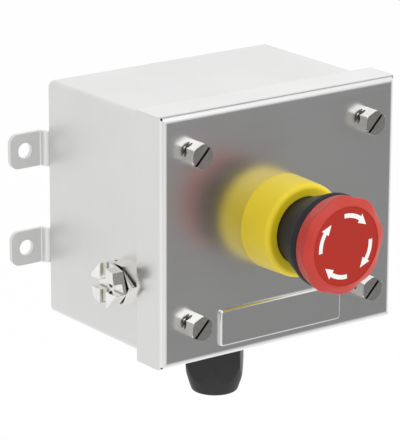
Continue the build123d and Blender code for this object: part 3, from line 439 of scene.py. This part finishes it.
def cutter_mesh(outline, depth, turn, place):
    """A prism along its own Z from an outline in mm, turned by a matrix and moved; used only to cut."""
    bm = bmesh.new()
    ends = [[bm.verts.new((x, y, z)) for x, y in outline] for z in (-depth / 2, depth / 2)]
    for index in range(len(outline)):
        after = (index + 1) % len(outline)
        bm.faces.new((ends[0][index], ends[0][after], ends[1][after], ends[1][index]))
    bm.faces.new(list(reversed(ends[0])))
    bm.faces.new(ends[1])
    bm.transform(Matrix.Diagonal((MM, MM, MM, 1)) @ Matrix.Translation(place) @ turn.to_4x4())
    bmesh.ops.recalc_face_normals(bm, faces=bm.faces)
    mesh = bpy.data.meshes.new("cutter")
    bm.to_mesh(mesh)
    bm.free()
    return mesh


def carved(mesh, cutters):
    """The mesh with the cutters' space taken out of it."""
    body = bpy.data.objects.new("carved", mesh)
    bpy.context.scene.collection.objects.link(body)
    tools = []
    for cutter in cutters:
        tool = bpy.data.objects.new("cutter", cutter)
        bpy.context.scene.collection.objects.link(tool)
        tools.append(tool)
        modifier = body.modifiers.new("cut", "BOOLEAN")
        modifier.operation = "DIFFERENCE"
        modifier.solver = "EXACT"
        modifier.object = tool
    bpy.context.view_layer.update()
    result = bpy.data.meshes.new_from_object(body.evaluated_get(bpy.context.evaluated_depsgraph_get()))
    result.name = mesh.name + "_shape"
    for scrap in [body] + tools:
        data = scrap.data
        bpy.data.objects.remove(scrap)
        bpy.data.meshes.remove(data)
    return result


def paint_cut_shade(mesh, material, inside):
    """Gives the faces whose middle lies inside a cut a darker material, as painted shade."""
    mesh.materials.append(material)
    for face in mesh.polygons:
        if inside(face.center / MM):
            face.material_index = 1


def rectangle(width, height):
    """The corners of a rectangle round the middle."""
    return [(x * width / 2, y * height / 2) for x, y in ((-1, -1), (1, -1), (1, 1), (-1, 1))]


def circle(radius, count=32):
    """Points round a circle."""
    return [(radius * math.cos(2 * math.pi * i / count), radius * math.sin(2 * math.pi * i / count))
            for i in range(count)]


def coil_mesh(name, centre, radius, wire, turns, y0, y1, around=10, steps=28, dead=0.9):
    """A compression spring along Y, in mm, with this many live turns and a closed dead turn at each end."""
    bm = bmesh.new()
    rings = []
    count = int((turns + 2 * dead) * steps)
    low = y0 + wire
    high = y1 - wire
    pitch_share = 2 * wire / (high - low)
    for index in range(count + 1):
        turn = index / steps
        if turn < dead:
            share = turn * pitch_share
        elif turn > turns + dead:
            share = 1 - (turns + 2 * dead - turn) * pitch_share
        else:
            live = (turn - dead) / turns
            share = dead * pitch_share + live * (1 - 2 * dead * pitch_share)
        angle = 2 * math.pi * turn
        outward = Vector((math.cos(angle), 0, math.sin(angle)))
        middle = Vector((centre[0], 0, centre[1])) + outward * radius
        middle.y = low + share * (high - low)
        ring = []
        for side in range(around):
            a = 2 * math.pi * side / around
            point = middle + outward * (wire * math.cos(a)) + Vector((0, wire * math.sin(a), 0))
            ring.append(bm.verts.new(point * MM))
        rings.append(ring)
    for first, second in zip(rings, rings[1:]):
        for side in range(around):
            after = (side + 1) % around
            bm.faces.new((first[side], first[after], second[after], second[side]))
    bm.faces.new(rings[0])
    bm.faces.new(list(reversed(rings[-1])))
    bmesh.ops.recalc_face_normals(bm, faces=bm.faces)
    mesh = bpy.data.meshes.new(name)
    bm.to_mesh(mesh)
    bm.free()
    return mesh


# Pieces

FRONT = -93.0  # the cover's front face, along Y; all sizes of pieces are in mm

# Cover screws. Angles are measured from +X towards +Z.
SCREW_PLACES = (("top_left", -46.0, 37.5), ("top_right", 46.0, 37.5),
                ("bottom_left", -46.0, -37.5), ("bottom_right", 46.0, -37.5))
SCREW_SEGMENTS = 72
SCREW_END = FRONT - 6.8
SCREW_ACROSS_FLATS = 10.0
SCREW_OUTSIDE = 5.8
SCREW_CORNER = math.radians(85)
SCREW_CHAMFER_RADIUS = 5.35
SCREW_CHAMFER = 0.3
SEAL_GROOVE_OUTSIDE = 4.4
SEAL_GROOVE_INSIDE = 3.4
SEAL_GROOVE_DEPTH = 1.0
SCREW_SLOT = math.radians(46)
SCREW_SLOT_WIDTH = 1.15
SCREW_SLOT_DEPTH = 2.0
WIRE_HOLE_RADIUS = 1.0
WIRE_HOLE_CORNER = math.radians(145)
WIRE_HOLE_OFF_AXIS = 4.85
WIRE_HOLE_HEIGHT = 1.0
CUT_TOLERANCE = 0.01
SCREW_NECK_RADIUS = 2.4
SCREW_NECK_END = -89.5
THREAD_RADIUS = 2.95
THREAD_START = -88.6
THREAD_END = -78.9
THREAD_PITCH = 1.0
THREAD_DEPTH = 0.5
THREAD_STEPS = 8
THREAD_LEAD_OUT_RADIUS = 2.6
SCREW_POINT_RADIUS = 2.1
SCREW_POINT = -78.05

# Mushroom head, with eight lobes that fade out towards its rear and its front
HEAD_SEGMENTS = 192
HEAD_REAR = -129.3
HEAD_LOBES = 8
HEAD_VALLEY = math.radians(28)
LOBE_DEPTH = 0.95
LOBE_SHARPNESS = 1.5
LOBE_INSIDE = 18.5
LOBE_FADE_RADIUS = 2.4
LOBE_FADE_LENGTH = 5.0

# Gaiter: where it leaves the collar and meets the head
GAITER_SEGMENTS = 96
GAITER_END = -128.98

# Coil springs: middle radius, wire radius and live turns
RETURN_COIL = (5.5, 0.5, 4)
CONTACT_COIL = (1.9, 0.3, 4)


def screw_radius_at(angle, radius, y):
    """A screw's radius: a hexagon on its head and a helical thread on its shank."""
    if y <= FRONT and radius > SEAL_GROOVE_OUTSIDE:
        return min(radius, hexagon_radius(angle, SCREW_ACROSS_FLATS, SCREW_CORNER))
    if THREAD_START < y < THREAD_END:
        turn = (y / THREAD_PITCH - angle / (2 * math.pi)) % 1.0
        return radius - THREAD_DEPTH * abs(2 * turn - 1)
    return radius


def screw_profile():
    """A screw's outline from its slotted end to its point: head, seal groove, neck, thread."""
    step = THREAD_PITCH / THREAD_STEPS
    steps = int((THREAD_END - THREAD_START) / step)
    groove_floor = FRONT - SEAL_GROOVE_DEPTH
    head = [
        (0, SCREW_END), (SCREW_CHAMFER_RADIUS, SCREW_END), (SCREW_OUTSIDE, SCREW_END + SCREW_CHAMFER),
        (SCREW_OUTSIDE, FRONT), (SEAL_GROOVE_OUTSIDE, FRONT), (SEAL_GROOVE_OUTSIDE, groove_floor),
        (SEAL_GROOVE_INSIDE, groove_floor), (SEAL_GROOVE_INSIDE, FRONT),
    ]
    neck = [(SCREW_NECK_RADIUS, FRONT), (SCREW_NECK_RADIUS, SCREW_NECK_END)]
    thread = [(THREAD_RADIUS, THREAD_START + index * step) for index in range(steps)]
    point = [(THREAD_LEAD_OUT_RADIUS, THREAD_END), (SCREW_POINT_RADIUS, SCREW_POINT), (0, SCREW_POINT)]
    return head + neck + thread + point


def make_screw(name, x, z, materials):
    """One captive screw: slotted hexagon head with a lock wire hole at a corner, neck and thread."""
    mesh = turned_mesh("lock_screw_" + name, screw_profile(), SCREW_SEGMENTS, screw_radius_at)
    slot = cutter_mesh(rectangle(2 * SCREW_ACROSS_FLATS, 2 * SCREW_SLOT_DEPTH), SCREW_SLOT_WIDTH,
                       Matrix.Rotation(-SCREW_SLOT, 3, "Y"), Vector((0, SCREW_END, 0)))
    outward = Vector((math.cos(WIRE_HOLE_CORNER), 0, math.sin(WIRE_HOLE_CORNER)))
    hole_middle = outward * WIRE_HOLE_OFF_AXIS + Vector((0, FRONT - WIRE_HOLE_HEIGHT, 0))
    hole = cutter_mesh(circle(WIRE_HOLE_RADIUS), 2 * SCREW_ACROSS_FLATS,
                       Matrix.Rotation(math.pi - WIRE_HOLE_CORNER, 3, "Y"), hole_middle)
    mesh = carved(mesh, [slot, hole])

    def in_cut(point):
        off = point - hole_middle
        off_hole = math.hypot(off.y, off.dot(outward))
        off_slot = abs(point.z * math.cos(SCREW_SLOT) - point.x * math.sin(SCREW_SLOT))
        depth = point.y - SCREW_END
        in_slot = off_slot < SCREW_SLOT_WIDTH / 2 + CUT_TOLERANCE
        return (off_hole < WIRE_HOLE_RADIUS + CUT_TOLERANCE
                or in_slot and CUT_TOLERANCE < depth < SCREW_SLOT_DEPTH + CUT_TOLERANCE)

    mesh.materials.append(materials["bright_steel"])
    # Painted shade: the slot and the lock wire hole get the darker steel.
    paint_cut_shade(mesh, materials["dull_steel"], in_cut)
    mesh.transform(Matrix.Translation((x * MM, 0, z * MM)))
    piece = new_piece("lock_screw_" + name, mesh, None, "screw_" + name, math.radians(25))
    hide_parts("cover_screw_" + name)


def head_radius_at(angle, radius, y):
    """The mushroom head's rim in eight soft lobes, its inside round."""
    if radius < LOBE_INSIDE:
        return radius
    valley = 0.5 + 0.5 * math.cos(HEAD_LOBES * (angle - HEAD_VALLEY))
    fade = min(1.0, (radius - LOBE_INSIDE) / LOBE_FADE_RADIUS, (HEAD_REAR - y) / LOBE_FADE_LENGTH)
    return radius - LOBE_DEPTH * fade * valley ** LOBE_SHARPNESS


def make_head(materials):
    """The red mushroom head: a lobed shell with a bevel to the disc, a hub and a recess for the clip."""
    rim = [
        (20.0, -129.32), (20.15, -129.5), (20.35, -130.4), (20.85, -132.4), (21.3, -134.2), (21.47, -134.9),
        (21.5, -135.2), (21.42, -135.45), (21.2, -135.65), (20.75, -135.85),
    ]
    bevel = [(19.6, -136.4), (18.4, -136.98), (17.5, -137.4), (17.25, -137.48), (17.1, -137.42)]
    disc_seat = [(17.05, -137.25), (17.05, -136.05), (8.5, -136.05)]
    hub = [(8.5, -134.65), (5.05, -134.65), (5.05, -121.3), (8.0, -121.3), (8.0, -133.45)]
    inside = [(17.6, -133.45), (17.6, -129.32)]
    profile = rim + bevel + disc_seat + hub + inside
    mesh = turned_mesh("mushroom_head", profile, HEAD_SEGMENTS, head_radius_at)
    piece = new_piece("mushroom_head", mesh, materials["red_plastic"], "twist_head")
    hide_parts("button_head")


def make_gaiter(materials):
    """The rubber gaiter: a bell from the collar's mouth with a fold under the head."""
    outer_bell = [
        (14.7, -97.6), (14.7, -109.2), (14.75, -110.4), (15.0, -111.6), (15.6, -113.4), (16.5, -115.8),
        (17.5, -118.4), (18.5, -121.2), (19.15, -123.2), (19.45, -124.1),
    ]
    outer_fold = [
        (19.55, -124.5), (19.75, -124.8), (20.1, -125.2), (20.4, -126.0), (20.5, -126.8), (20.35, -127.6),
        (19.9, -128.4), (19.3, -128.85), (18.9, GAITER_END),
    ]
    inner_fold = [(17.8, GAITER_END), (17.7, -128.5), (18.5, -127.6), (18.6, -126.4), (18.2, -125.4)]
    inner_bell = [
        (17.6, -124.0), (16.8, -121.4), (15.8, -118.6), (14.8, -116.0), (14.0, -113.6), (13.5, -111.6),
        (13.4, -110.2), (13.4, -99.2),
    ]
    bead = [(12.5, -99.1), (12.5, -97.6)]
    mesh = turned_mesh("gaiter", outer_bell + outer_fold + inner_fold + inner_bell + bead, GAITER_SEGMENTS)
    piece = new_piece("gaiter", mesh, materials["black_rubber"], "cover_assembly")
    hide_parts("button_gaiter")
    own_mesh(piece)


def make_spring(name, node, coil, materials, centre=None):
    """A coil spring in the place of a packed one."""
    low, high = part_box(node)
    if centre is None:
        centre = ((low.x + high.x) / 2 / MM, (low.z + high.z) / 2 / MM)
    mesh = coil_mesh(name, centre, *coil, low.y / MM, high.y / MM)
    piece = new_piece(name, mesh, materials["spring_steel"], "cover_assembly")
    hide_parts(node)
    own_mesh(piece)


NODE_FINISHES = {
    "enclosure_box": "box_steel",
    "screw_posts": "box_steel",
    "mounting_strap_upper": "strap_steel",
    "mounting_strap_lower": "strap_steel",
    "cover": "cover_steel",
    "cover_gasket": "foam",
    "label_plate": "label_steel",
    "screw_seal_rings": "black_rubber",
    "screw_retaining_rings": "spring_steel",
    "earth_terminal": "polished_steel",
    "earth_clamp_screw": "polished_steel",
    "earth_washer": "zinc",
    "earth_spring_washer": "spring_steel",
    "earth_nut": "zinc",
    "gland_body": "black_plastic",
    "gland_washer": "black_rubber",
    "gland_lock_nut": "black_plastic",
    "gland_seal": "black_rubber",
    "gland_basket": "black_plastic",
    "gland_dome_nut": "black_plastic",
    "button_collar": "yellow_plastic",
    "panel_seal": "black_rubber",
    "actuator_barrel": "black_plastic",
    "barrel_lock_washer": "zinc",
    "barrel_nut": "black_plastic",
    "push_stem": "black_plastic",
    "latch_ring": "spring_steel",
    "pusher": "grey_plastic",
    "button_head": "red_plastic",
    "button_disc": "red_disc",
    "arrow_inlays": "white_inlay",
    "head_clip": "spring_steel",
    "contact_carrier": "black_plastic",
    "fixed_contacts": "brass",
    "contact_terminal_screws": "zinc",
    "terminal_rail": "zinc",
    "rail_screws": "zinc",
    "rail_terminals": "grey_plastic",
    "rail_terminal_screws": "zinc",
}

# Nodes that come in sets, by the start of their names
SET_FINISHES = {
    "cover_screw_": "bright_steel",
    "contact_block_": "grey_plastic",
    "contact_lid_": "grey_plastic",
    "contact_plunger_": "grey_plastic",
    "contact_bridge_": "brass",
}


def finish_name(node):
    """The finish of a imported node; a node in neither table is one that a mesh replaces."""
    for start, finish in SET_FINISHES.items():
        if node.startswith(start):
            return finish
    return NODE_FINISHES.get(node, "spring_steel")


def dress_nodes(materials):
    """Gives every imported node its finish."""
    for name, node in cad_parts.items():
        material = materials[finish_name(name)]
        for slot in node.material_slots:
            slot.material = material


bpy.context.scene.view_settings.view_transform = "Standard"
make_camera()
make_world()
make_floor()
make_lamp("key", KEY_PLACE, KEY_SIZE, KEY_WATTS)
make_lamp("fill", FILL_PLACE, FILL_SIZE, FILL_WATTS, mirrored=False)
finishes = make_materials()
dress_nodes(finishes)
for name, x, z in SCREW_PLACES:
    make_screw(name, x, z, finishes)
make_head(finishes)
make_gaiter(finishes)
make_spring("main_spring", "return_spring", RETURN_COIL, finishes, centre=(0, 0))
for side in ("left", "right"):
    make_spring("bridge_spring_" + side, "contact_spring_" + side, CONTACT_COIL, finishes)
